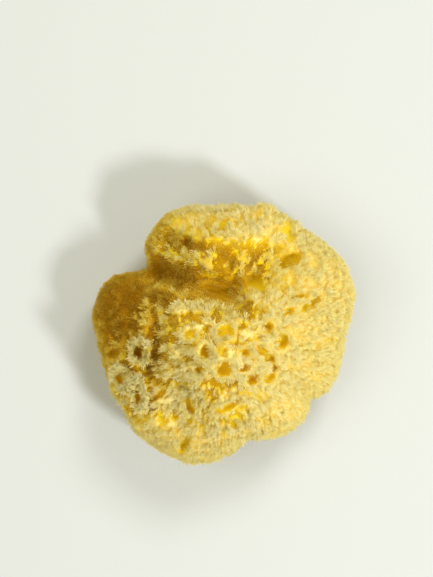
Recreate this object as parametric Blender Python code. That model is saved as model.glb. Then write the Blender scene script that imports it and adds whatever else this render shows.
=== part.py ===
"""A bleached sea sponge: one lobed, pitted mass, cut off flat where it grew on the rock.

Metres, +Z up. The origin is at the middle of the flat cut, under the middle of the sponge.
Lengths are given in millimetres and turned to metres when the mesh is made.
X is to the right and Y up the page, seen from above. Places of what opens or runs over the top are
given as they show from the eye, set in a plane at PLAN_HEIGHT.
"""

import bmesh
import bpy
import numpy as np
from mathutils import Vector, noise

MM = 0.001

# Driving dimensions
WIDTH = 140.0
HEIGHT = 84.0
HEART_HEIGHT = 0.48 * HEIGHT  # the point that every direction is measured from
TRIANGLES = 9500

# The eye that looks straight down, and the height of the plane that places are given in
EYE_PLAN = np.array((-2.8, 22.8))
EYE_HEIGHT = 690.0
PLAN_HEIGHT = 40.0

# The main mass and the foot: the middle, and half-lengths along X, Y and Z
CORE, CORE_HALF = (2.0, 1.0, 38.0), (54.0, 52.0, 34.0)
FOOT, FOOT_HALF = (0.0, 1.0, 19.0), (54.0, 52.0, 32.0)

# Round lobes: plan place of the middle, its height, and the radius
LOBES = {
    "upper_left": (-17, 41, 36, 23),
    "upper_right": (17, 38.5, 38, 27.5),
    "right": (41, 21, 37, 27),
    "lower_right": (38, -12, 37, 21.5),
    "bottom_right": (22, -30, 36, 23.5),
    "bottom": (-13, -42, 34, 25.5),
    "bottom_left": (-27, -32, 34, 24),
    "tube_bed": (-40, -18, 37, 20),
    "left": (-42, 8, 26, 26),
    "crown": (2, -8, 50, 33),
    "crest": (-15, 3, 50, 27.5),
    "crown_right": (27, 8, 48, 29),
    "crown_top": (-2, 36, 46, 25),
    "crown_bottom": (3, -31, 46, 24),
}
LOBE_BLEND = 10.0  # a higher power makes sharper creases between the lobes

# Valleys that sink between the lobes: half-width, depth, and the places they run through
VALLEYS = (
    (9.0, 13.0, ((-54, 40), (-38, 33), (-24, 29), (-10, 23.5), (4, 18.5))),
    (7.0, 7.0, ((-34, 24), (-35, 12), (-33.5, 2))),
    (4.0, 9.0, ((-33, 4), (-32, -5), (-32.5, -13), (-38, -19))),
    (4.5, 3.0, ((6, 19), (16, 25), (27, 28), (34, 37))),
    (3.5, 2.5, ((17, 25), (18, 14), (21, 8))),
    (6.0, 5.0, ((-34, 49), (-23, 47))),
)

# Notches in the outline, given as the valleys are, but cut inwards
NOTCHES = (
    (8.0, 6.0, ((-66, 52), (-50, 40), (-40, 34))),
    (4.5, 3.5, ((66, -48), (50, -38), (42, -31))),
    (4.0, 2.5, ((17, 72), (13, 60))),
    (7.0, 2.5, ((17, -66), (12, -50))),
)

# Pits that open upwards: place, half-length, half-width, turn in degrees, depth, rim height
PITS = (
    (-8.0, -10.1, 3.6, 3.5, 0, 6, 1.4),
    (1.1, -18.0, 4.2, 4.0, 20, 6, 1.4),
    (-10.8, -18.8, 2.6, 2.3, 60, 5, 1.0),
    (23.2, 2.9, 3.2, 3.0, 0, 5, 1.6),
    (30.5, -4.5, 4.0, 3.6, 30, 5, 1.4),
    (15.3, -23.2, 3.5, 3.2, 40, 6, 1.4),
    (23.7, -22.2, 3.5, 3.1, 20, 6, 1.2),
    (25.8, -18.0, 2.6, 2.4, 70, 5, 0.4),
    (24.1, -13.0, 3.2, 3.0, 110, 5, 0.6),
    (19.5, -9.2, 4.2, 2.6, -35, 5, 1.2),
    (11.1, -17.6, 3.8, 2.2, 10, 4, 1.0),
    (11.5, -9.9, 2.6, 2.4, 0, 4, 0.8),
    (1.5, 0.5, 4.4, 3.4, 15, 4, 0.8),
    (1.5, -9.2, 1.7, 1.6, 0, 3, 0.4),
    (-16.2, -1.0, 3.0, 2.6, 0, 3, 0.8),
    (33.5, 10.4, 3.8, 2.0, 35, 4, 1.0),
    (45.1, 14.1, 6.4, 2.0, 35, 4, 0.8),
    (40.0, 18.3, 4.6, 1.6, 15, 3, 0.5),
    (47.9, -15.7, 1.7, 1.6, 0, 3, 0.4),
    (6.4, -46.5, 2.4, 2.2, 0, 4, 0.6),
    (2.7, -37.2, 5.6, 2.8, 25, 4, 0.8),
    (-15.5, -37.6, 5.2, 2.4, -65, 4, 0.8),
    (-30.9, -39.5, 1.7, 1.6, 0, 3, 0.4),
    (-19.2, -57.2, 5.4, 2.6, 60, 4, 0.8),
    (0.8, 54.7, 4.6, 2.2, 50, 4, 0.8),
    (-17.8, 45.8, 3.4, 2.2, 70, 4, 0.8),
    (5.0, 35.5, 6.4, 2.6, 72, 4, 0.8),
    (34.4, 36.9, 6.8, 4.0, 15, 3, 0.4),
    (16.7, 24.9, 6.0, 4.4, -50, 3, 0.4),
    (-2.6, 19.8, 8.0, 3.4, -20, 3, 0.4),
    (-54.2, -10.8, 3.4, 2.5, 20, 3, 2.5),
    (-59.5, -19.6, 3.0, 2.2, 60, 4, 1.2),
)

# Tubes, which are pits with a high rim
TUBES = (
    (-41.6, -10.1, 3.6, 3.1, 85, 4, 4.5),
    (-51.0, -23.0, 3.8, 3.0, 120, 4, 4.5),
    (-42.0, -32.0, 6.0, 2.4, 95, 4, 4.5),
)

# Pits that open sideways: bearing in degrees from +X, height above the cut, radius, depth
SIDE_PITS = (
    (4, 30, 3.4, 12),
    (27, 20, 2.8, 10),
    (52, 34, 3.6, 12),
    (74, 22, 3.0, 10),
    (98, 38, 3.2, 12),
    (128, 24, 3.6, 12),
    (152, 36, 2.8, 10),
    (177, 20, 3.2, 11),
    (203, 34, 3.0, 10),
    (226, 22, 3.4, 12),
    (251, 36, 3.2, 11),
    (272, 19, 2.8, 10),
    (297, 32, 3.6, 12),
    (322, 21, 3.0, 10),
    (343, 40, 2.8, 9),
)

# Canals that the cut opens: plan place at the cut, and radius
CANALS = (
    (0, 2, 3.8),
    (15, 10, 3.0),
    (-13, 14, 3.4),
    (-22, -4, 2.8),
    (-8, -19, 3.6),
    (13, -14, 2.6),
    (27, -5, 3.4),
    (6, 28, 2.8),
    (24, 24, 2.6),
    (-29, 20, 2.8),
    (-26, -22, 2.6),
    (8, -32, 3.0),
)
CANAL_TOP = 20.0  # how far above the cut a canal ends

# The skin's swells, as size across and height, and its knobs, packed side by side with creases between them
SWELL_SIZE, SWELL_HEIGHT = 22.0, 3.0
KNOB_SIZE, KNOB_HEIGHT = 11.0, 5.0

SPHERE_LEVEL = 7
VOXEL = 1.1
CUTTER_HALF = 100.0
SPONGE_COLOUR = (0.80, 0.56, 0.07, 1.0)


def clear_scene():
    for obj in list(bpy.data.objects):
        bpy.data.objects.remove(obj)


def far_side(ways, middle, half):
    """How far along each way from the heart an ellipsoid is left, or 0 where it is missed."""
    scaled_ways = ways / half
    scaled_middle = np.array(middle) / half
    a = (scaled_ways**2).sum(1)
    b = scaled_ways @ scaled_middle
    inside = b * b - a * (scaled_middle @ scaled_middle - 1.0)
    return np.where(inside > 0, (b + np.sqrt(np.maximum(inside, 0))) / a, 0).clip(0)


def lobed_reach(ways):
    """The distance from the heart to the skin of the joined lobes, before anything is cut into it."""
    solids = [(CORE, CORE_HALF), (FOOT, FOOT_HALF)]
    solids += [((x, y, z), (r, r, r)) for x, y, z, r in LOBES.values()]
    total = np.zeros(len(ways))
    for (x, y, z), half in solids:
        reach = far_side(ways, (x, y, z - HEART_HEIGHT), np.array(half, float))
        total += (reach / WIDTH) ** LOBE_BLEND
    return WIDTH * total ** (1 / LOBE_BLEND)


def soft_step(low, high, values):
    share = ((values - low) / (high - low)).clip(0, 1)
    return share * share * (3 - 2 * share)


def from_line(places, start, end):
    """The distance of each plan place from the straight line between two others."""
    along = end - start
    share = ((places - start) @ along / (along @ along)).clip(0, 1)
    return np.linalg.norm(places - start - share[:, None] * along, axis=1)


def seen_plan(skin):
    """The place at which each skin point shows from the eye, in the plane that places are given in."""
    nearer = (EYE_HEIGHT - PLAN_HEIGHT) / (EYE_HEIGHT - HEART_HEIGHT - skin[:, 2:])
    return EYE_PLAN + (skin[:, :2] - EYE_PLAN) * nearer


def furrow_depth(plan, furrows):
    """How deep the valleys or notches are at each place."""
    depth = np.zeros(len(plan))
    for half_width, deep, line in furrows:
        points = np.array(line, float)
        pairs = zip(points[:-1], points[1:])
        off = np.min([from_line(plan, a, b) for a, b in pairs], axis=0)
        depth = np.maximum(depth, deep * np.exp(-((off / half_width) ** 2)))
    return depth


def well(off):
    """The shape of a pit from its middle, 0, past its edge, 1: a deep well with steep sides."""
    return 1 - soft_step(0.55, 1.15, off)


def rim(off):
    """The raised ring around a pit."""
    return np.exp(-(((off - 1.4) / 0.28) ** 2))


def plan_offset(plan, pit):
    """How far each place is from a pit's middle, in pit radii."""
    x, y, half_length, half_width, turn = pit[:5]
    a = np.radians(turn)
    east, north = plan[:, 0] - x, plan[:, 1] - y
    along = (east * np.cos(a) + north * np.sin(a)) / half_length
    across = (north * np.cos(a) - east * np.sin(a)) / half_width
    return np.hypot(along, across)


def top_relief(skin, ways):
    """How far the valleys, the pits and their rims move each skin point upwards."""
    top = ways[:, 2] > -0.1
    plan = seen_plan(skin)
    valleys = furrow_depth(plan, VALLEYS) * soft_step(-0.1, 0.3, ways[:, 2])
    wells = np.zeros(len(skin))
    rims = np.zeros(len(skin))
    for pit in (*PITS, *TUBES):
        off = np.where(top, plan_offset(plan, pit), 9.0)
        wells = np.maximum(wells, pit[5] * well(off))
        rims = np.maximum(rims, pit[6] * rim(off))
    return rims - wells - valleys


def inward_wells(skin, ways):
    """How far the pits that open sideways and the canals move each skin point inwards."""
    wells = np.zeros(len(skin))
    for bearing, height, radius, deep in SIDE_PITS:
        a = np.radians(bearing)
        outward = ways[:, :2] @ (np.cos(a), np.sin(a)) > 0
        across = skin[:, 1] * np.cos(a) - skin[:, 0] * np.sin(a)
        off = np.hypot(across, skin[:, 2] + HEART_HEIGHT - height) / radius
        wells = np.maximum(wells, np.where(outward, deep * well(off), 0))
    below = ways[:, 2] < -0.3
    to_cut = HEART_HEIGHT / np.maximum(-ways[:, 2:], 0.1)
    at_cut = ways[:, :2] * to_cut
    under_cut = np.linalg.norm(skin, axis=1) - to_cut[:, 0]
    for x, y, radius in CANALS:
        off = np.hypot(at_cut[:, 0] - x, at_cut[:, 1] - y) / radius
        wells = np.maximum(wells, np.where(below, (under_cut + CANAL_TOP) * well(off), 0))
    return wells


def from_knob(point):
    """The distance of a point from the middle of its knob, in knob sizes."""
    return noise.voronoi(Vector(point))[0][0]


def lump_height(skin):
    swells = np.fromiter(map(noise.noise, map(Vector, skin / SWELL_SIZE)), float, len(skin))
    knobs = np.fromiter(map(from_knob, skin / KNOB_SIZE), float, len(skin))
    return SWELL_HEIGHT * swells + KNOB_HEIGHT * (0.25 - knobs**2)


def sponge_skin(ways):
    """The sponge's surface point in each unit direction from the heart, in millimetres from the heart."""
    reach = lobed_reach(ways)
    skin = ways * reach[:, None]
    reach = reach + lump_height(skin) - furrow_depth(seen_plan(skin), NOTCHES) - inward_wells(skin, ways)
    skin = ways * reach[:, None]
    skin[:, 2] += top_relief(skin, ways)
    return skin


def rounded_mass():
    """The whole closed mass, before the cut."""
    mesh = bpy.data.meshes.new("mass")
    shape = bmesh.new()
    bmesh.ops.create_icosphere(shape, subdivisions=SPHERE_LEVEL, radius=1.0)
    shape.to_mesh(mesh)
    shape.free()
    ways = np.empty(len(mesh.vertices) * 3)
    mesh.vertices.foreach_get("co", ways)
    ways = ways.reshape(-1, 3)
    ways /= np.linalg.norm(ways, axis=1, keepdims=True)
    points = sponge_skin(ways) + (0, 0, HEART_HEIGHT)
    mesh.vertices.foreach_set("co", (points * MM).ravel())
    mass = bpy.data.objects.new("mass", mesh)
    bpy.context.scene.collection.objects.link(mass)
    remesh = mass.modifiers.new("even faces", "REMESH")
    remesh.mode = "VOXEL"
    remesh.voxel_size = VOXEL * MM
    soften = mass.modifiers.new("soften", "SMOOTH")
    soften.factor = 0.5
    soften.iterations = 2
    return mass


def with_modifiers(obj):
    """A new mesh of the object as its modifiers leave it."""
    graph = bpy.context.evaluated_depsgraph_get()
    return bpy.data.meshes.new_from_object(obj.evaluated_get(graph))


def triangle_count(mesh):
    mesh.calc_loop_triangles()
    return len(mesh.loop_triangles)


def fewer_faces(mass):
    mesh = with_modifiers(mass)
    mass.modifiers.clear()
    mass.data = mesh
    thin = mass.modifiers.new("fewer faces", "DECIMATE")
    thin.ratio = TRIANGLES / triangle_count(mesh)


def base_cutter():
    """A block whose top face is the flat cut."""
    mesh = bpy.data.meshes.new("base_cutter")
    shape = bmesh.new()
    bmesh.ops.create_cube(shape, size=2 * CUTTER_HALF * MM)
    shape.to_mesh(mesh)
    shape.free()
    cutter = bpy.data.objects.new("base_cutter", mesh)
    cutter.location.z = -CUTTER_HALF * MM
    cutter.hide_render = True
    cutter.display_type = "WIRE"
    bpy.context.scene.collection.objects.link(cutter)
    return cutter


def sponge_material():
    material = bpy.data.materials.new("sponge")
    material.use_nodes = True
    shader = material.node_tree.nodes["Principled BSDF"]
    shader.inputs["Base Color"].default_value = SPONGE_COLOUR
    shader.inputs["Roughness"].default_value = 0.9
    shader.inputs["Metallic"].default_value = 0.0
    return material


def centred(mesh):
    """Moves the middle of the mesh's plan box to the origin, leaving heights as they are."""
    points = np.empty(len(mesh.vertices) * 3)
    mesh.vertices.foreach_get("co", points)
    points = points.reshape(-1, 3)
    middle = (points.min(0) + points.max(0)) / 2
    points[:, :2] -= middle[:2]
    mesh.vertices.foreach_set("co", points.ravel())


def build_sponge():
    mass = rounded_mass()
    fewer_faces(mass)
    cut = mass.modifiers.new("flat base", "BOOLEAN")
    cut.operation = "DIFFERENCE"
    cut.object = base_cutter()
    mesh = with_modifiers(mass)
    bpy.data.objects.remove(mass)
    centred(mesh)
    mesh.materials.clear()
    mesh.materials.append(sponge_material())
    mesh.shade_smooth()
    sponge = bpy.data.objects.new("sponge", mesh)
    bpy.context.scene.collection.objects.link(sponge)


clear_scene()
build_sponge()
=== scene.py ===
"""The looks of a bleached sea sponge: its porous flesh and the tufts of fibres that cover it."""

import bmesh
import bpy
import numpy as np
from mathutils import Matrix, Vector, noise


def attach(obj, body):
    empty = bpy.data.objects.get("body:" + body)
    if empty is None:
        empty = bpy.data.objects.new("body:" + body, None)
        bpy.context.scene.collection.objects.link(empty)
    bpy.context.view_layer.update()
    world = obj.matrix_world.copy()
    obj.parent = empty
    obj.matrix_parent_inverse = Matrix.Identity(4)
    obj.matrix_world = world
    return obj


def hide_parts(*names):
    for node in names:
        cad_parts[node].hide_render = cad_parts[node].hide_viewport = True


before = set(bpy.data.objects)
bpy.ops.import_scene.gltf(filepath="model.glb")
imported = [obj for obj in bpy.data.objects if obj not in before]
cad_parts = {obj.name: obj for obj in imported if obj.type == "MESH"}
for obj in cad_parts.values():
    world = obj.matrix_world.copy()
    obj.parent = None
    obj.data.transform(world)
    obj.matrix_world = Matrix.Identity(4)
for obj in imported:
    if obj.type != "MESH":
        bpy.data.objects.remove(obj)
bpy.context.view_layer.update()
MM = 0.001

# The form repeats the solid's own, in millimetres, with the origin at the middle of its cut base
WIDTH = 140.0
HEIGHT = 84.0
HEART = 0.48 * HEIGHT  # the height of the point that every direction is measured from

# The eye that looks straight down, and the height of the plane that places are given in
EYE_HEIGHT = 690.0
EYE_PLAN = np.array((-2.8, 22.8))
PLAN_HEIGHT = 40.0

# The photo's height, and the sponge's width in it, in pixels, and the camera's sensor in millimetres
PHOTO_HEIGHT_PX = 577
SPONGE_WIDTH_PX = 273
SENSOR = 36.0

# The main mass and the foot: the middle, and half-lengths along X, Y and Z
CORE, CORE_HALF = (2.0, 1.0, 38.0), (54.0, 52.0, 34.0)
FOOT, FOOT_HALF = (0.0, 1.0, 19.0), (54.0, 52.0, 32.0)

# Round lobes: plan place of the middle, its height, and the radius
LOBES = (
    (-17, 41, 36, 23),
    (17, 38.5, 38, 27.5),
    (41, 21, 37, 27),
    (38, -12, 37, 21.5),
    (22, -30, 36, 23.5),
    (-13, -42, 34, 25.5),
    (-27, -32, 34, 24),
    (-40, -18, 37, 20),
    (-42, 8, 26, 26),
    (2, -8, 50, 33),
    (-15, 3, 50, 27.5),
    (27, 8, 48, 29),
    (-2, 36, 46, 25),
    (3, -31, 46, 24),
)
LOBE_BLEND = 10.0  # a higher power makes sharper creases between the lobes

# Valleys between the lobes: half-width, depth, and the plan points they run through
VALLEYS = (
    (9.0, 13.0, ((-54, 40), (-38, 33), (-24, 29), (-10, 23.5), (4, 18.5))),
    (7.0, 7.0, ((-34, 24), (-35, 12), (-33.5, 2))),
    (4.0, 9.0, ((-33, 4), (-32, -5), (-32.5, -13), (-38, -19))),
    (4.5, 3.0, ((6, 19), (16, 25), (27, 28), (34, 37))),
    (3.5, 2.5, ((17, 25), (18, 14), (21, 8))),
    (6.0, 5.0, ((-34, 49), (-23, 47))),
)

# Notches in the outline, as the valleys, but cut inwards
NOTCHES = (
    (8.0, 6.0, ((-66, 52), (-50, 40), (-40, 34))),
    (4.5, 3.5, ((66, -48), (50, -38), (42, -31))),
    (4.0, 2.5, ((17, 72), (13, 60))),
    (7.0, 2.5, ((17, -66), (12, -50))),
)

# Pits that open upwards: plan place, half-length, half-width, turn in degrees, depth, rim height
PITS = (
    (-8.0, -10.1, 3.6, 3.5, 0, 6, 1.4),
    (1.1, -18.0, 4.2, 4.0, 20, 6, 1.4),
    (-10.8, -18.8, 2.6, 2.3, 60, 5, 1.0),
    (23.2, 2.9, 3.2, 3.0, 0, 5, 1.6),
    (30.5, -4.5, 4.0, 3.6, 30, 5, 1.4),
    (15.3, -23.2, 3.5, 3.2, 40, 6, 1.4),
    (23.7, -22.2, 3.5, 3.1, 20, 6, 1.2),
    (25.8, -18.0, 2.6, 2.4, 70, 5, 0.4),
    (24.1, -13.0, 3.2, 3.0, 110, 5, 0.6),
    (19.5, -9.2, 4.2, 2.6, -35, 5, 1.2),
    (11.1, -17.6, 3.8, 2.2, 10, 4, 1.0),
    (11.5, -9.9, 2.6, 2.4, 0, 4, 0.8),
    (1.5, 0.5, 4.4, 3.4, 15, 4, 0.8),
    (1.5, -9.2, 1.7, 1.6, 0, 3, 0.4),
    (-16.2, -1.0, 3.0, 2.6, 0, 3, 0.8),
    (33.5, 10.4, 3.8, 2.2, 35, 2.5, 1.0),
    (45.1, 14.1, 6.4, 2.2, 35, 2.5, 0.8),
    (40.0, 18.3, 4.6, 1.8, 15, 2, 0.5),
    (47.9, -15.7, 1.7, 1.6, 0, 3, 0.4),
    (6.4, -46.5, 2.4, 2.2, 0, 4, 0.6),
    (2.7, -37.2, 5.6, 2.8, 25, 4, 0.8),
    (-15.5, -37.6, 5.2, 2.4, -65, 4, 0.8),
    (-30.9, -39.5, 1.7, 1.6, 0, 3, 0.4),
    (-19.2, -57.2, 5.4, 2.6, 60, 4, 0.8),
    (0.8, 54.7, 4.6, 2.2, 50, 4, 0.8),
    (-17.8, 45.8, 3.4, 2.2, 70, 4, 0.8),
    (5.0, 35.5, 6.4, 2.6, 72, 3, 0.1),
    (34.4, 36.9, 6.8, 4.0, 15, 3, 0.4),
    (16.7, 24.9, 6.0, 4.4, -50, 3, 0.4),
    (-2.6, 19.8, 8.0, 3.4, -20, 3, 0.4),
    (-54.2, -10.8, 3.4, 2.5, 20, 3, 2.5),
    (-59.5, -19.6, 3.0, 2.2, 60, 4, 1.2),
)

# Tubes with a raised, ragged lip: the same values as a pit's
TUBES = (
    (-41.6, -10.1, 3.4, 2.9, 85, 3, 8.0),
    (-51.0, -23.0, 3.6, 2.8, 120, 3, 7.0),
    (-42.0, -32.0, 5.8, 2.2, 95, 4, 7.0),
)

# Pits that open sideways: bearing in degrees, height above the cut, radius, depth
SIDE_PITS = (
    (4, 30, 3.4, 12),
    (27, 20, 2.8, 10),
    (52, 34, 3.6, 12),
    (74, 22, 3.0, 10),
    (98, 38, 3.2, 12),
    (128, 24, 3.6, 12),
    (152, 36, 2.8, 10),
    (177, 20, 3.2, 11),
    (203, 34, 3.0, 10),
    (226, 22, 3.4, 12),
    (251, 36, 3.2, 11),
    (272, 19, 2.8, 10),
    (297, 32, 3.6, 12),
    (322, 21, 3.0, 10),
    (343, 40, 2.8, 9),
)

# Canals that the cut opens: plan place, and radius
CANALS = (
    (0, 2, 3.8),
    (15, 10, 3.0),
    (-13, 14, 3.4),
    (-22, -4, 2.8),
    (-8, -19, 3.6),
    (13, -14, 2.6),
    (27, -5, 3.4),
    (6, 28, 2.8),
    (24, 24, 2.6),
    (-29, 20, 2.8),
    (-26, -22, 2.6),
    (8, -32, 3.0),
)
CANAL_TOP = 20.0  # how far above the cut a canal ends

# The skin's swells, as size across and height, and its knobs, which lie flatter where the skin is smooth
SWELL_SIZE, SWELL_HEIGHT = 22.0, 3.0
KNOB_SIZE, KNOB_HEIGHT = 11.0, 5.0
SMOOTH_LUMPS = 0.65  # the share of the lumps that is lost there

# How ragged the pits' outlines are, as sizes and strengths of two waves
RAGGED_SIZES, RAGGED_SHARES = (4.0, 1.7), (0.2, 0.14)

# The flesh lies this far inside the solid's skin, so that the fibres end near it
FLESH_INSET = 2.2
FLESH_VOXEL = 0.89
SPHERE_LEVEL = 7

# Tufts: size across near the top, and size across and along in the streaks down the sides
TUFT_SIZE, TUFT_HEIGHT = 3.8, 2.2
CLUMP_SIZE = 9.0
STREAK_SIZE, STREAK_LENGTH = 3.0, 7.0
STREAK_START = (16, 40)
CRUMB_SIZE, CRUMB_HEIGHT = 1.6, 0.4
CUT_SKIN = 0.6  # below this height the relief only goes inwards
TUFT_FROM, TUFT_TO = -0.06, 0.26  # the noise at which a gap ends and a tuft is whole
TUFT_MIDDLE = (0, -6)

# How deep under the lobes' outer form the flesh is bare of tufts, and so darker gold with painted shade,
# from and to
BARE_DEPTHS = (5, 12)

# Where the fibres grow calm and even: how far right, to the near and far ends, and down at the foot
CALM_RIGHT, CALM_NEAR, CALM_FAR, CALM_FOOT = (8, 42), (38, 58), (40, 58), (46, 26)

# Smooth patches, where the fibres are short and golden, also darkened with painted shade where shade
# falls on the left lobe and in the valleys: plan place, half-sizes, turn, strength
VELVET_AND_SHADE = (
    (-52, 14, 20, 26, 0, 1.0),
    (-27, 30, 20, 9, -20, 0.95),
    (-31, 18, 8, 6, 0, 1.0),
    (-3, 21, 13, 8, -15, 0.6),
    (-45, 31, 10, 6, 0, 0.9),
    (-35, -2, 7, 17, 0, 0.75),
    (-58, -8, 7, 11, 0, 0.8),
    (-34, 50, 19, 8, 60, 0.75),
    (-21, 46, 15, 5, -10, 0.9),
    (16, 32, 22, 9, 15, 0.55),
    (-2, 40, 13, 6, 0, 0.4),
    (4.5, 36, 3.5, 7, 0, 0.8),
)
VELVET_AND_SHADE_FOOT = (2, 30)  # the heights over which the patches fade in

# Pits are looked for above this height; their edge and the moat round a tube, as place and width in radii
PITS_ABOVE = 20
EDGE_AT, EDGE_WIDTH = 1.3, 0.3
MOAT_AT, MOAT_WIDTH = 2.2, 0.4

# Fibres are narrow triangles: a fine fuzz, and florets of wisps, each a bundle of fibres
FUZZ = 198000
FUZZ_SEED, FUZZ_SPREAD = 100, 0.35
FUZZ_LENGTH, FUZZ_WIDTH = 1.7, 0.13
FLORET_PIECES = 3
FLORET_SEED, FLORET_SPREAD = 200, 0.2
FLORETS, FLORET_WISPS, WISP_FIBRES = 2180, 15, 6
FLORETS_ON_TUFTS = 0.96  # the share of the florets that keeps to the tufts
WISP_LENGTH, WISP_TURN, WISP_SPREAD, WISP_FOOT = 3.5, 0.26, 0.12, 0.08
FIBRE_WIDTH = 0.15
FLORET_FOOT = 0.5
FIBRE_ROOT = 0.2  # how deep in the flesh a fibre starts
LEAST_HEIGHT = 0.15  # fibres end this far above the cut's plane
CUT_TOP, CUT_FIBRES = 0.8, 0.15  # few fibres grow on the cut, below this height
CROWN_FROM = (45, 62)  # the heights over which the florets grow longer
STRIPS = 16  # strips of the colour map, each from root to tip

# Fibres lean in slowly turning ways of this size, and outwards from a place on the dome
COMB_SIZE, COMB_SHIFTS = 7.0, (11.7, 47.2, 83.9)
DOME = (4, -8, 0)
LEAN_FROM = (36, 56)  # the heights over which they lean more
RIM_LEAN, RIM_UP, LIP_UP = 1.1, (0, 0, 0.6), (0, 0, 1.6)  # off the pits' edges, and up on the tubes' lips

# The fibres' flat sides turn somewhat to the light, and their fronts and soft normals up
TO_LIGHT = (0.2, -0.1, 0.45)
FRONT_UP, SOFT_UP = (0, 0, 0.8), (0, 0, 0.6)

# Shade runs from 0, golden, to 1, pale, partly the sponge's own tone and partly painted shade in the
# gaps, pits and hollows: the least on plain flesh, what calm places add, and in pits
LEAST_SHADE, CALM_SHADE, PIT_SHADE = 0.16, 0.45, 0.31
# How much darker the shade is made in the smooth patches and on steep slopes, both painted shade, and in
# calm places
VELVET_PAINTED_SHADE, CALM_DARKENS, STEEP_PAINTED_SHADE = 0.85, 0.24, 0.75

# The colours by shade, of the flesh and of the fibres' roots and tips, and the flesh's mottling; the
# golds at the low end are partly painted shade, and the darkest is painted shade for the smooth patches
PAINTED_SHADE_GOLD = (0.29, 0.122, 0.0003)
GAP_GOLD_AND_SHADE = (0.59, 0.35, 0.002)
PIT_GOLD_AND_SHADE = (0.86, 0.68, 0.012)
FLESH_COLOURS = (
    (0, PAINTED_SHADE_GOLD),
    (0.15, GAP_GOLD_AND_SHADE),
    (0.28, PIT_GOLD_AND_SHADE),
    (0.5, (0.85, 0.61, 0.08)),
    (0.8, (0.92, 0.74, 0.24)),
    (1, (0.97, 0.85, 0.40)),
)
ROOT_COLOURS = (
    (0, (0.33, 0.14, 0.001)),
    (0.15, GAP_GOLD_AND_SHADE),
    (0.28, PIT_GOLD_AND_SHADE),
    (1, (0.96, 0.84, 0.14)),
)
TIP_COLOURS = (
    (0, (0.42, 0.21, 0.006)),
    (0.2, (0.91, 0.70, 0.11)),
    (0.45, (0.96, 0.84, 0.30)),
    (0.7, (0.98, 0.90, 0.42)),
    (1, (1, 0.97, 0.68)),
)
MOTTLE_COLOURS = ((0.35, (0.94, 0.86, 0.7)), (0.65, (1, 1, 1)))

# Soft lights: bearing and rise in degrees, size in metres, watts, and colour
LIGHTS = {
    "key": (-36, 50, 0.18, 9.6, (1.0, 0.96, 0.88)),
    "side": (65, 52, 0.4, 7.2, (1.0, 0.95, 0.82)),
    "fill": (190, 65, 0.8, 6.0, (1.0, 0.95, 0.82)),
}
LIGHT_DISTANCE = 1.3
LIGHT_AIM = (0, 0, 0.04)
SKY_COLOUR, SKY_STRENGTH = (1.0, 0.86, 0.5, 1), 0.36
FLOOR_COLOUR, FLOOR_HALF = (0.62, 0.68, 0.76), 2.0


def far_side(ways, middle, half):
    """How far along each way from the heart an ellipsoid is left, or 0 where it is missed."""
    scaled_ways = ways / half
    scaled_middle = np.array(middle) / half
    a = (scaled_ways**2).sum(1)
    b = scaled_ways @ scaled_middle
    inside = b * b - a * (scaled_middle @ scaled_middle - 1.0)
    return np.where(inside > 0, (b + np.sqrt(np.maximum(inside, 0))) / a, 0).clip(0)


def lobed_reach(ways):
    """The distance from the heart to the skin of the joined lobes, before anything is cut into it."""
    solids = [(CORE, CORE_HALF), (FOOT, FOOT_HALF)]
    solids += [((x, y, z), (r, r, r)) for x, y, z, r in LOBES]
    total = np.zeros(len(ways))
    for (x, y, z), half in solids:
        reach = far_side(ways, (x, y, z - HEART), np.array(half, float))
        total += (reach / WIDTH) ** LOBE_BLEND
    return WIDTH * total ** (1 / LOBE_BLEND)


def soft_step(low, high, values):
    """Rises smoothly from 0 at low to 1 at high, which may be the smaller of the two."""
    share = ((values - low) / (high - low)).clip(0, 1)
    return share * share * (3 - 2 * share)


def from_line(places, start, end):
    """The distance of each plan place from the straight line between two others."""
    along = end - start
    share = ((places - start) @ along / (along @ along)).clip(0, 1)
    return np.linalg.norm(places - start - share[:, None] * along, axis=1)


def seen_plan(skin):
    """Each point's plan place as it shows from the eye above."""
    nearer = (EYE_HEIGHT - PLAN_HEIGHT) / (EYE_HEIGHT - HEART - skin[:, 2:])
    return EYE_PLAN + (skin[:, :2] - EYE_PLAN) * nearer


def furrow_depth(plan, furrows):
    """How deep the valleys or notches are at each plan place."""
    depth = np.zeros(len(plan))
    for half_width, deep, line in furrows:
        points = np.array(line, float)
        pairs = zip(points[:-1], points[1:])
        off = np.min([from_line(plan, a, b) for a, b in pairs], axis=0)
        depth = np.maximum(depth, deep * np.exp(-((off / half_width) ** 2)))
    return depth


def well(off):
    """The shape of a pit from its middle, 0, past its edge, 1: a deep well with steep sides."""
    return 1 - soft_step(0.55, 1.15, off)


def rim(off):
    """The raised ring around a pit."""
    return np.exp(-(((off - 1.4) / 0.28) ** 2))


def plan_offset(plan, pit):
    """How far each plan place is from a pit's middle: 1 at its edge."""
    x, y, half_length, half_width, turn = pit[:5]
    a = np.radians(turn)
    east, north = plan[:, 0] - x, plan[:, 1] - y
    along = (east * np.cos(a) + north * np.sin(a)) / half_length
    across = (north * np.cos(a) - east * np.sin(a)) / half_width
    return np.hypot(along, across)


def wobble(plan):
    """How ragged the pits' outlines are at each plan place."""
    flat = np.column_stack((plan, np.full(len(plan), 2.0)))
    broad, fine = (share * waves(flat, size) for share, size in zip(RAGGED_SHARES, RAGGED_SIZES))
    return 1 + broad + fine


def top_relief(skin, ways):
    """How far the valleys, the pits and their rims move each skin point upwards."""
    top = ways[:, 2] > -0.1
    plan = seen_plan(skin)
    valleys = furrow_depth(plan, VALLEYS) * soft_step(-0.1, 0.3, ways[:, 2])
    wells = np.zeros(len(skin))
    rims = np.zeros(len(skin))
    ragged = wobble(plan)
    for pit in (*PITS, *TUBES):
        off = np.where(top, plan_offset(plan, pit) * ragged, 9.0)
        wells = np.maximum(wells, pit[5] * well(off))
        rims = np.maximum(rims, pit[6] * rim(off))
    return rims - wells - valleys


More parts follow.
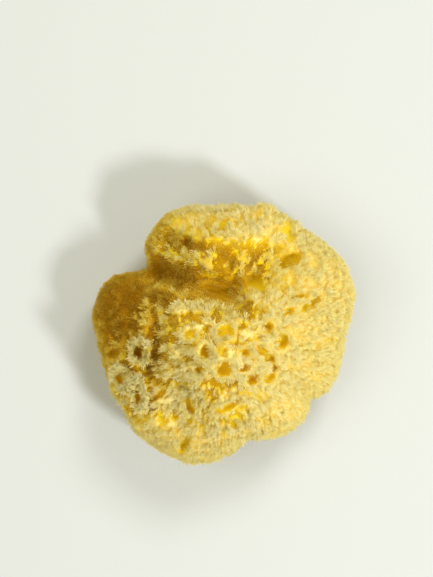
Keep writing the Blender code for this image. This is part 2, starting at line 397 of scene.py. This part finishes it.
def side_wells(skin, ways):
    """How far the pits that open sideways move each skin point inwards."""
    wells = np.zeros(len(skin))
    for bearing, height, radius, deep in SIDE_PITS:
        a = np.radians(bearing)
        outward = ways[:, :2] @ (np.cos(a), np.sin(a)) > 0
        across = skin[:, 1] * np.cos(a) - skin[:, 0] * np.sin(a)
        off = np.hypot(across, skin[:, 2] + HEART - height) / radius
        wells = np.maximum(wells, np.where(outward, deep * well(off), 0))
    return wells


def to_cut(ways):
    """How far along each way from the heart the plane of the cut is."""
    return np.where(ways[:, 2] < -0.1, HEART / np.maximum(-ways[:, 2], 0.1), 1e3)


def canal_rise(skin):
    """How far the canals rise from the cut at each plan place."""
    rise = np.zeros(len(skin))
    for x, y, radius in CANALS:
        off = np.hypot(skin[:, 0] - x, skin[:, 1] - y) / radius
        rise = np.maximum(rise, CANAL_TOP * well(off))
    return rise


def from_knob(point):
    """The distance of a point from the middle of its knob, in knob sizes."""
    return noise.voronoi(Vector(point))[0][0]


def waves(points, size, shift=0.0):
    """Smooth noise from -1 to 1 of the given size, at each point."""
    return np.fromiter(map(noise.noise, map(Vector, points / size + shift)), float, len(points))


def lump_height(skin):
    swells = waves(skin, SWELL_SIZE)
    knobs = np.fromiter(map(from_knob, skin / KNOB_SIZE), float, len(skin))
    return SWELL_HEIGHT * swells + KNOB_HEIGHT * (0.25 - knobs**2)


def sponge_skin(ways):
    """The flesh's surface point in each direction from the heart, cut flat at the base."""
    reach = lobed_reach(ways)
    skin = ways * reach[:, None]
    notches = furrow_depth(seen_plan(skin), NOTCHES)
    smooth = np.maximum(velvet_and_shade_share(skin + (0, 0, HEART)), calm(skin + (0, 0, HEART)))
    lumps = lump_height(skin) * (1 - SMOOTH_LUMPS * smooth)
    reach += lumps - notches - side_wells(skin, ways) - FLESH_INSET
    at_cut = reach > to_cut(ways)
    skin = ways * np.minimum(reach, to_cut(ways))[:, None]
    skin[:, 2] += np.where(at_cut, canal_rise(skin), top_relief(skin, ways))
    return skin


def coordinates(mesh):
    points = np.empty(len(mesh.vertices) * 3)
    mesh.vertices.foreach_get("co", points)
    return points.reshape(-1, 3)


def directions(mesh):
    """The way that the mesh faces at each of its points."""
    normals = np.empty(len(mesh.vertices) * 3)
    mesh.vertices.foreach_get("normal", normals)
    return normals.reshape(-1, 3)


def unit(vectors):
    return vectors / np.maximum(np.linalg.norm(vectors, axis=1, keepdims=True), 1e-9)


def show(name, mesh):
    obj = bpy.data.objects.new(name, mesh)
    bpy.context.scene.collection.objects.link(obj)
    return obj


def even_mass():
    """The flesh's closed mesh with even faces, in metres."""
    mesh = bpy.data.meshes.new("mass")
    shape = bmesh.new()
    bmesh.ops.create_icosphere(shape, subdivisions=SPHERE_LEVEL, radius=1.0)
    shape.to_mesh(mesh)
    shape.free()
    points = sponge_skin(unit(coordinates(mesh))) + (0, 0, HEART)
    mesh.vertices.foreach_set("co", (points * MM).ravel())
    mass = show("mass", mesh)
    remesh = mass.modifiers.new("even faces", "REMESH")
    remesh.mode = "VOXEL"
    remesh.voxel_size = FLESH_VOXEL * MM
    soften = mass.modifiers.new("soften", "SMOOTH")
    soften.factor = 0.5
    soften.iterations = 1
    graph = bpy.context.evaluated_depsgraph_get()
    even = bpy.data.meshes.new_from_object(mass.evaluated_get(graph))
    bpy.data.objects.remove(mass)
    return even


def from_heart(points):
    """The direction of each point from the heart, and how far off it is."""
    out = points - (0, 0, HEART)
    reach = np.linalg.norm(out, axis=1)
    return out / reach[:, None], reach


def below_envelope(points):
    """How deep each flesh point lies under the lobes' outer form."""
    ways, reach = from_heart(points)
    return np.minimum(lobed_reach(ways), to_cut(ways)) - reach


def calm(points):
    """How even the fibres are: 1 down the right and at the ends, 0 on the crest and the left."""
    right = soft_step(*CALM_RIGHT, points[:, 0] - 0.2 * points[:, 1])
    near = soft_step(*CALM_NEAR, -points[:, 1])
    far = 0.6 * soft_step(*CALM_FAR, points[:, 1])
    foot = 0.7 * soft_step(*CALM_FOOT, points[:, 2])
    return np.max((right, near, far, foot), axis=0)


def tuft_share(points):
    """How much each place belongs to a pale tuft: 0 in the golden gaps, 1 on the tufts."""
    east, north = points[:, 0] - TUFT_MIDDLE[0], points[:, 1] - TUFT_MIDDLE[1]
    bearing = np.arctan2(north, east)
    reach = np.hypot(east, north)
    around = WIDTH / 2 / STREAK_SIZE
    along = (reach - points[:, 2]) / STREAK_LENGTH
    streaks = np.stack((around * np.cos(bearing), around * np.sin(bearing), along), axis=1)
    streaky = soft_step(*STREAK_START, reach) * (1 - 2 * velvet_and_shade_share(points)).clip(0, 1)
    broad = waves(points, TUFT_SIZE, 7.3) * (1 - streaky) + waves(streaks, 1.0, 5.1) * streaky
    even = calm(points)
    clumps = 0.6 * waves(points, CLUMP_SIZE, 1.9) * (1 - 0.5 * even)
    ragged = 0.4 * waves(points, 1.5, 3.7) + 0.25 * waves(points, 0.8, 9.2)
    tufted = broad * (1 - 0.4 * even) + clumps + ragged + 0.25 * even
    return soft_step(TUFT_FROM - 0.34 * even, TUFT_TO, tufted)


def velvet_and_shade_share(points):
    """How much each place belongs to a smooth patch, which also carries painted shade."""
    plan = seen_plan(points - (0, 0, HEART))
    most = np.zeros(len(points))
    for *ellipse, strength in VELVET_AND_SHADE:
        most = np.maximum(most, strength * (1 - soft_step(0.35, 1.6, plan_offset(plan, ellipse))))
    return most * soft_step(*VELVET_AND_SHADE_FOOT, points[:, 2])


class Ground:
    """What the fibres grow on: for each place on the flesh, its tuft, pit, patch and depth."""

    def __init__(self, points, depth):
        self.velvet_and_shade = velvet_and_shade_share(points)
        self.inside, self.lip, self.near, self.away, moat = by_pits(points)
        tufted = tuft_share(points) * (1 - 0.55 * self.velvet_and_shade)
        # Painted shade: fewer tufts, and so darker gold, deep in the hollows and in the moat round each
        # tube
        tufted = tufted * (1 - 0.6 * soft_step(*BARE_DEPTHS, depth)) * (1 - 0.85 * moat)
        self.tuft = np.maximum(tufted, 0.9 * self.near * (1 - self.velvet_and_shade)) * (1 - self.inside)
        self.tuft = np.maximum(self.tuft, self.lip)
        self.calm = calm(points)
        # The shade: pale on the tufts, deep gold in the gaps and pits, partly the sponge's own tone and
        # partly painted shade
        least = LEAST_SHADE + CALM_SHADE * self.calm
        self.shade = (least + (1 - least) * self.tuft) * (1 - self.inside) + PIT_SHADE * self.inside
        # The tubes' lips are made palest: partly their own cream, partly a painted highlight
        self.shade = np.maximum(self.shade, self.lip)
        # Painted shade: the smooth patches are darkened to deep gold, except on the tubes' lips
        self.shade *= (1 - VELVET_PAINTED_SHADE * self.velvet_and_shade * (1 - self.lip)) * (1 - CALM_DARKENS * self.calm)


def make_flesh():
    """The flesh with its tufts raised, and each of its points' depth and direction for the fibres."""
    mesh = even_mass()
    points = coordinates(mesh) / MM
    depth = below_envelope(points)
    ground = Ground(points, depth)
    form = directions(mesh)
    relief = TUFT_HEIGHT * (ground.tuft - 0.5) + CRUMB_HEIGHT * waves(points, CRUMB_SIZE, 3.1)
    relief = relief * (1 - ground.inside) * (1 - 0.6 * ground.velvet_and_shade) * (1 - 0.7 * ground.calm)
    relief = relief * (0.2 + 0.8 * form[:, 2].clip(0, 1))
    at_cut = points[:, 2] < CUT_SKIN
    relief = np.where(at_cut, -np.abs(relief) * 0.6, relief)
    points = points + form * relief[:, None]
    points[:, 2] = np.maximum(points[:, 2], 0.0)
    mesh.vertices.foreach_set("co", (points * MM).ravel())
    mesh.update()
    # Painted shade: the flesh on steep slopes and in the smooth patches is made darker gold
    painted_steep_shade = (1 - form[:, 2].clip(0, 1)) * (1 - ground.calm) * (1 - ground.inside) * (1 - ground.near)
    painted_steep_shade = np.maximum(painted_steep_shade, 0.8 * ground.velvet_and_shade * (1 - ground.inside))
    shade = ground.shade * (1 - STEEP_PAINTED_SHADE * painted_steep_shade)
    for name, values in (("tuft", ground.tuft), ("shade", shade)):
        kept = mesh.attributes.new(name, "FLOAT", "POINT")
        kept.data.foreach_set("value", values.astype(np.float32))
    mesh.shade_smooth()
    return show("flesh", mesh), depth, form


def by_pits(points):
    """For each point: inside a pit, on a tube's lip, near an edge, the way off it, round a tube."""
    plan = seen_plan(points - (0, 0, HEART))
    near = np.zeros(len(points))
    inside = np.zeros(len(points))
    lip = np.zeros(len(points))
    away = np.zeros((len(points), 3))
    moat = np.zeros(len(points))
    high = points[:, 2] > PITS_ABOVE
    ragged = wobble(plan)
    for pit in (*PITS, *TUBES):
        off = np.where(high, plan_offset(plan, pit) * ragged, 9.0)
        close = np.exp(-(((off - EDGE_AT) / EDGE_WIDTH) ** 2)) * min(pit[6], 1.0)
        inside = np.maximum(inside, 1 - soft_step(0.8, 1.15, off))
        near = np.maximum(near, close)
        if pit in TUBES:
            lip = np.maximum(lip, rim(off))
            moat = np.maximum(moat, np.exp(-(((off - MOAT_AT) / MOAT_WIDTH) ** 2)))
        away[:, :2] += unit(plan - pit[:2]) * close[:, None]
    return inside, lip, near, away, moat


class Spots:
    """Random places over the flesh, with the ground there."""

    def __init__(self, mesh, depth, form, count, rng, on_tufts):
        mesh.calc_loop_triangles()
        corners = np.empty(len(mesh.loop_triangles) * 3, np.int32)
        mesh.loop_triangles.foreach_get("vertices", corners)
        corners = corners.reshape(-1, 3)
        points = coordinates(mesh) / MM
        a, b, c = points[corners[:, 0]], points[corners[:, 1]], points[corners[:, 2]]
        area = np.linalg.norm(np.cross(b - a, c - a), axis=1) / 2
        tuft = np.empty(len(points), np.float32)
        mesh.attributes["tuft"].data.foreach_get("value", tuft)
        least = np.maximum(0.6 * velvet_and_shade_share(points), 0.5 * calm(points))
        tuft = np.maximum(tuft, least)[corners].mean(1)
        lip = by_pits(points)[2][corners].mean(1)
        weight = area * (1 - on_tufts + on_tufts * tuft**1.5) * (1 + 2 * lip)
        weight *= np.where((a + b + c)[:, 2] / 3 < CUT_TOP, CUT_FIBRES, 1.0)
        picked = rng.choice(len(corners), count, p=weight / weight.sum())
        share = rng.dirichlet((1, 1, 1), count)
        three = corners[picked]
        self.place = (points[three] * share[:, :, None]).sum(1)
        self.normal = unit((form[three] * share[:, :, None]).sum(1))
        self.ground = Ground(self.place, depth[three].mean(1))
        self.count = count


def comb(places):
    """A slowly turning sideways lean of the fibres."""
    return np.stack([waves(places, COMB_SIZE, shift) for shift in COMB_SHIFTS], axis=1)


def growth(spots, rng, spread):
    """The way that each fibre or floret grows."""
    ground = spots.ground
    outward = unit((spots.place - DOME) * (1, 1, 0))
    even = ground.calm[:, None]
    lean = 0.45 + 0.55 * np.maximum(soft_step(*LEAN_FROM, spots.place[:, 2:]), even)
    way = spots.normal + (0.7 - 0.4 * even) * comb(spots.place) + lean * outward
    way = way + ground.near[:, None] * (RIM_LEAN * ground.away + RIM_UP)
    way = way + ground.lip[:, None] * LIP_UP
    return unit(way + rng.normal(0, spread, way.shape) * (1 - 0.6 * even))


def triangles(foot, tip, width, normal, rng):
    """A narrow triangle from each foot, widest at its tip, its front outwards, with soft normals."""
    along = tip - foot
    side = unit(np.cross(along, rng.normal(0, 1, along.shape) + TO_LIGHT))
    front = normal + FRONT_UP
    facing = (np.cross(along, side) * front).sum(1, keepdims=True)
    side = np.where(facing < 0, -side, side) * width * rng.uniform(0.7, 1.3, (len(foot), 1))
    corners = np.stack((foot, tip - side / 2, tip + side / 2), axis=1).reshape(-1, 3)
    corners[:, 2] = np.maximum(corners[:, 2], LEAST_HEIGHT)
    soft = unit(0.3 * normal + 0.3 * unit(along) + SOFT_UP)
    return corners, np.repeat(soft, 3, axis=0)


def wisps(spots, way, length, rng):
    """The foot, tip and normal of every fibre: a floret spreads into wisps, a wisp into fibres."""
    shape = (spots.count, FLORET_WISPS, 3)
    turned = way[:, None] + rng.normal(0, WISP_TURN, shape)
    turned /= np.linalg.norm(turned, axis=2, keepdims=True)
    reach = length[:, None, None] * rng.uniform(0.6, 1.1, (spots.count, FLORET_WISPS, 1))
    foot = spots.place[:, None] - spots.normal[:, None] * FIBRE_ROOT + rng.normal(0, FLORET_FOOT, shape)
    foot = foot + way[:, None] * reach * rng.uniform(0, 0.4, (spots.count, FLORET_WISPS, 1))
    tip = (foot + turned * reach).reshape(-1, 1, 3)
    foot = foot.reshape(-1, 1, 3) + rng.normal(0, WISP_FOOT, (len(tip), WISP_FIBRES, 3))
    short = rng.uniform(0.75, 1.0, (len(tip), WISP_FIBRES, 1))
    tip = foot + (tip + rng.normal(0, WISP_SPREAD, foot.shape) - foot) * short
    normal = np.repeat(spots.normal, FLORET_WISPS * WISP_FIBRES, axis=0)
    return foot.reshape(-1, 3), tip.reshape(-1, 3), normal


def colour_places(shade, each, rng):
    """Where the fibres' corners lie on the colour map: shade across, and root to tip in a strip."""
    count = len(shade) * each
    across = (0.95 * np.repeat(shade, each) + rng.uniform(0, 0.05, count)).clip(0.01, 0.98)
    strip = rng.integers(0, STRIPS, count)
    u = across[:, None] + np.array((0.002, 0, 0.004))
    v = (strip[:, None] + 0.06 + np.array((0, 0.88, 0.88))) / STRIPS
    return np.stack((u, v), axis=2).reshape(-1, 2)


def fibre_object(name, corners, normals, places):
    """One object of loose triangles, from the corners of all of them in turn."""
    mesh = bpy.data.meshes.new(name)
    mesh.vertices.add(len(corners))
    mesh.vertices.foreach_set("co", (corners * MM).astype(np.float32).ravel())
    mesh.loops.add(len(corners))
    mesh.loops.foreach_set("vertex_index", np.arange(len(corners), dtype=np.int32))
    mesh.polygons.add(len(corners) // 3)
    mesh.polygons.foreach_set("loop_start", np.arange(0, len(corners), 3, dtype=np.int32))
    mesh.update(calc_edges=True)
    layer = mesh.uv_layers.new(name="OFBake")
    layer.uv.foreach_set("vector", places.astype(np.float32).ravel())
    mesh.shade_smooth()
    mesh.normals_split_custom_set_from_vertices(normals)
    return show(name, mesh)


def make_fuzz(flesh_mesh, depth, form):
    """The short fibres that cover the whole flesh."""
    rng = np.random.default_rng(FUZZ_SEED)
    spots = Spots(flesh_mesh, depth, form, FUZZ, rng, 0.0)
    ground = spots.ground
    length = FUZZ_LENGTH * (0.6 + 0.4 * ground.tuft + 0.4 * ground.velvet_and_shade) * (1 - 0.5 * ground.inside)
    way = growth(spots, rng, FUZZ_SPREAD)
    foot = spots.place - spots.normal * FIBRE_ROOT
    tip = foot + way * (length * rng.uniform(0.6, 1.1, FUZZ))[:, None]
    corners, normals = triangles(foot, tip, FUZZ_WIDTH, spots.normal, rng)
    pale = rng.uniform(0, 0.4, FUZZ) * (1 - ground.velvet_and_shade) * (1 - ground.inside)
    shade = 0.9 * ground.shade + (1 - ground.shade) * pale
    return fibre_object("fuzz", corners, normals, colour_places(shade, 1, rng))


def make_florets(number, flesh_mesh, depth, form):
    """One piece of the tufts' longer fibres, which grow in florets."""
    rng = np.random.default_rng(FLORET_SEED + number)
    spots = Spots(flesh_mesh, depth, form, FLORETS, rng, FLORETS_ON_TUFTS)
    ground = spots.ground
    upper = soft_step(*CROWN_FROM, spots.place[:, 2])
    length = WISP_LENGTH * (0.45 + 0.6 * upper) * (0.5 + 0.5 * ground.tuft) * (1 - 0.5 * ground.inside)
    length = length * (1 - 0.4 * ground.near) * (1 + 0.2 * ground.velvet_and_shade) * (1 + 0.6 * ground.lip)
    length = length * rng.uniform(0.7, 1.25, spots.count) * (1 - 0.05 * ground.calm)
    foot, tip, normal = wisps(spots, growth(spots, rng, FLORET_SPREAD), length, rng)
    corners, normals = triangles(foot, tip, FIBRE_WIDTH, normal, rng)
    pale = 0.8 * soft_step(0.3, 0.6, ground.tuft) * (1 - ground.velvet_and_shade) * (1 - 0.6 * ground.calm)
    shade, even, lip = (
        np.repeat(values, FLORET_WISPS)
        for values in (ground.shade + (1 - ground.shade) * pale, ground.calm, ground.lip)
    )
    shade *= 1 + rng.uniform(-0.26, 0.06, len(shade)) * (1 - 0.5 * even)
    # The tubes' lips are made palest: partly their own cream, partly a painted highlight
    shade = np.maximum(shade, lip)
    places = colour_places(shade, WISP_FIBRES, rng)
    return fibre_object(f"florets_{number}", corners, normals, places)


def ramp_of(nodes, stops):
    """A colour ramp with the given places and colours."""
    ramp = nodes.new("ShaderNodeValToRGB")
    ends = ramp.color_ramp.elements
    ends[0].position, ends[0].color = stops[0][0], (*stops[0][1], 1)
    ends[1].position, ends[1].color = stops[-1][0], (*stops[-1][1], 1)
    for place, colour in stops[1:-1]:
        ends.new(place).color = (*colour, 1)
    return ramp


def flesh_material():
    """Coloured by the flesh's shade, partly painted shade in the gaps, pits, hollows, steep slopes and
    smooth patches, with a fine mottling and grain, and light that scatters in it.
    """
    material = bpy.data.materials.new("sponge flesh")
    material.use_nodes = True
    nodes, links = material.node_tree.nodes, material.node_tree.links
    shader = nodes["Principled BSDF"]
    shade = nodes.new("ShaderNodeAttribute")
    shade.attribute_name = "shade"
    ramp = ramp_of(nodes, FLESH_COLOURS)
    links.new(shade.outputs["Fac"], ramp.inputs["Fac"])
    place = nodes.new("ShaderNodeTexCoord")
    mottle = nodes.new("ShaderNodeTexNoise")
    mottle.inputs["Scale"].default_value = 260.0
    mottle.inputs["Detail"].default_value = 5.0
    links.new(place.outputs["Object"], mottle.inputs["Vector"])
    pale = ramp_of(nodes, MOTTLE_COLOURS)
    links.new(mottle.outputs["Fac"], pale.inputs["Fac"])
    tint = nodes.new("ShaderNodeMix")
    tint.data_type = "RGBA"
    tint.blend_type = "MULTIPLY"
    tint.inputs["Factor"].default_value = 0.35
    links.new(ramp.outputs["Color"], tint.inputs["A"])
    links.new(pale.outputs["Color"], tint.inputs["B"])
    links.new(tint.outputs["Result"], shader.inputs["Base Color"])
    grain = nodes.new("ShaderNodeTexNoise")
    grain.inputs["Scale"].default_value = 1500.0
    grain.inputs["Detail"].default_value = 6.0
    links.new(place.outputs["Object"], grain.inputs["Vector"])
    bump = nodes.new("ShaderNodeBump")
    bump.inputs["Strength"].default_value = 0.6
    bump.inputs["Distance"].default_value = 0.0006
    links.new(grain.outputs["Fac"], bump.inputs["Height"])
    links.new(bump.outputs["Normal"], shader.inputs["Normal"])
    shader.inputs["Roughness"].default_value = 0.9
    shader.inputs["Specular IOR Level"].default_value = 0.05
    shader.inputs["Subsurface Weight"].default_value = 0.8
    shader.inputs["Subsurface Radius"].default_value = (1.0, 0.88, 0.14)
    shader.inputs["Subsurface Scale"].default_value = 0.007
    return material


def fibre_material():
    """Golden at the root and pale straw at the tip, deeper in the hollows, by the fibres' colour map; the
    gold towards the roots and in the hollows and smooth patches is partly painted shade.
    """
    material = bpy.data.materials.new("sponge fibre")
    material.use_nodes = True
    nodes, links = material.node_tree.nodes, material.node_tree.links
    shader = nodes["Principled BSDF"]
    spot = nodes.new("ShaderNodeUVMap")
    spot.uv_map = "OFBake"
    split = nodes.new("ShaderNodeSeparateXYZ")
    links.new(spot.outputs["UV"], split.inputs["Vector"])
    strips = nodes.new("ShaderNodeMath")
    strips.operation = "MULTIPLY"
    strips.inputs[1].default_value = STRIPS
    links.new(split.outputs["Y"], strips.inputs[0])
    along = nodes.new("ShaderNodeMath")
    along.operation = "FRACT"
    links.new(strips.outputs["Value"], along.inputs[0])
    roots = ramp_of(nodes, ROOT_COLOURS)
    tips = ramp_of(nodes, TIP_COLOURS)
    links.new(split.outputs["X"], roots.inputs["Fac"])
    links.new(split.outputs["X"], tips.inputs["Fac"])
    paler = nodes.new("ShaderNodeMath")
    paler.operation = "POWER"
    paler.inputs[1].default_value = 1.2
    links.new(along.outputs["Value"], paler.inputs[0])
    blend = nodes.new("ShaderNodeMix")
    blend.data_type = "RGBA"
    links.new(paler.outputs["Value"], blend.inputs["Factor"])
    links.new(roots.outputs["Color"], blend.inputs["A"])
    links.new(tips.outputs["Color"], blend.inputs["B"])
    links.new(blend.outputs["Result"], shader.inputs["Base Color"])
    shader.inputs["Roughness"].default_value = 0.85
    shader.inputs["Specular IOR Level"].default_value = 0.05
    through = nodes.new("ShaderNodeBsdfTranslucent")
    links.new(blend.outputs["Result"], through.inputs["Color"])
    both = nodes.new("ShaderNodeMixShader")
    both.inputs["Fac"].default_value = 0.22
    links.new(shader.outputs["BSDF"], both.inputs[1])
    links.new(through.outputs["BSDF"], both.inputs[2])
    links.new(both.outputs["Shader"], nodes["Material Output"].inputs["Surface"])
    return material


def plain(name, colour):
    material = bpy.data.materials.new(name)
    material.use_nodes = True
    shader = material.node_tree.nodes["Principled BSDF"]
    shader.inputs["Base Color"].default_value = (*colour, 1)
    shader.inputs["Roughness"].default_value = 0.9
    return material


def make_camera():
    """A camera straight above, which sees the sponge as large as the photo does."""
    data = bpy.data.cameras.new("camera")
    camera = bpy.data.objects.new("camera", data)
    bpy.context.scene.collection.objects.link(camera)
    data.sensor_width = SENSOR
    pixel = WIDTH / SPONGE_WIDTH_PX  # millimetres in the plane at the sponge's widest
    distance = EYE_HEIGHT - PLAN_HEIGHT
    data.lens = SENSOR * distance / (PHOTO_HEIGHT_PX * pixel)
    camera.location = (EYE_PLAN[0] * MM, EYE_PLAN[1] * MM, EYE_HEIGHT * MM)
    data.clip_start, data.clip_end = 0.01, 10.0
    bpy.context.scene.camera = camera


def area_light(name, bearing, rise, size, watts, colour):
    """A square light that faces the sponge from a bearing and a height, both in degrees."""
    a, b = np.radians(bearing), np.radians(rise)
    way = Vector((np.cos(a) * np.cos(b), np.sin(a) * np.cos(b), np.sin(b)))
    data = bpy.data.lights.new(name, "AREA")
    data.energy = watts
    data.size = size
    data.color = colour
    light = bpy.data.objects.new(name, data)
    light.location = way * LIGHT_DISTANCE + Vector(LIGHT_AIM)
    light.rotation_euler = way.to_track_quat("Z", "Y").to_euler()
    bpy.context.scene.collection.objects.link(light)


def make_studio():
    """A plain floor, three soft lights and a dim warm sky."""
    floor_mesh = bpy.data.meshes.new("floor")
    shape = bmesh.new()
    bmesh.ops.create_grid(shape, x_segments=1, y_segments=1, size=FLOOR_HALF)
    shape.to_mesh(floor_mesh)
    shape.free()
    floor_mesh.materials.append(plain("floor", FLOOR_COLOUR))
    show("floor", floor_mesh)
    for name, values in LIGHTS.items():
        area_light(name, *values)
    world = bpy.data.worlds.new("world")
    world.use_nodes = True
    sky = world.node_tree.nodes["Background"]
    sky.inputs["Color"].default_value = SKY_COLOUR
    sky.inputs["Strength"].default_value = SKY_STRENGTH
    bpy.context.scene.world = world
    bpy.context.scene.view_settings.view_transform = "Standard"
    bpy.context.scene.cycles.max_bounces = 16
    bpy.context.scene.cycles.diffuse_bounces = 14


make_camera()
make_studio()
flesh, flesh_depth, flesh_form = make_flesh()
flesh.data.materials.clear()
flesh.data.materials.append(flesh_material())
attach(flesh, "root")
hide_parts("sponge")

fibre_look = fibre_material()
fibre_pieces = [make_fuzz(flesh.data, flesh_depth, flesh_form)]
for floret_number in range(1, FLORET_PIECES + 1):
    fibre_pieces.append(make_florets(floret_number, flesh.data, flesh_depth, flesh_form))
for piece in fibre_pieces:
    piece.data.materials.append(fibre_look)
    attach(piece, "root")
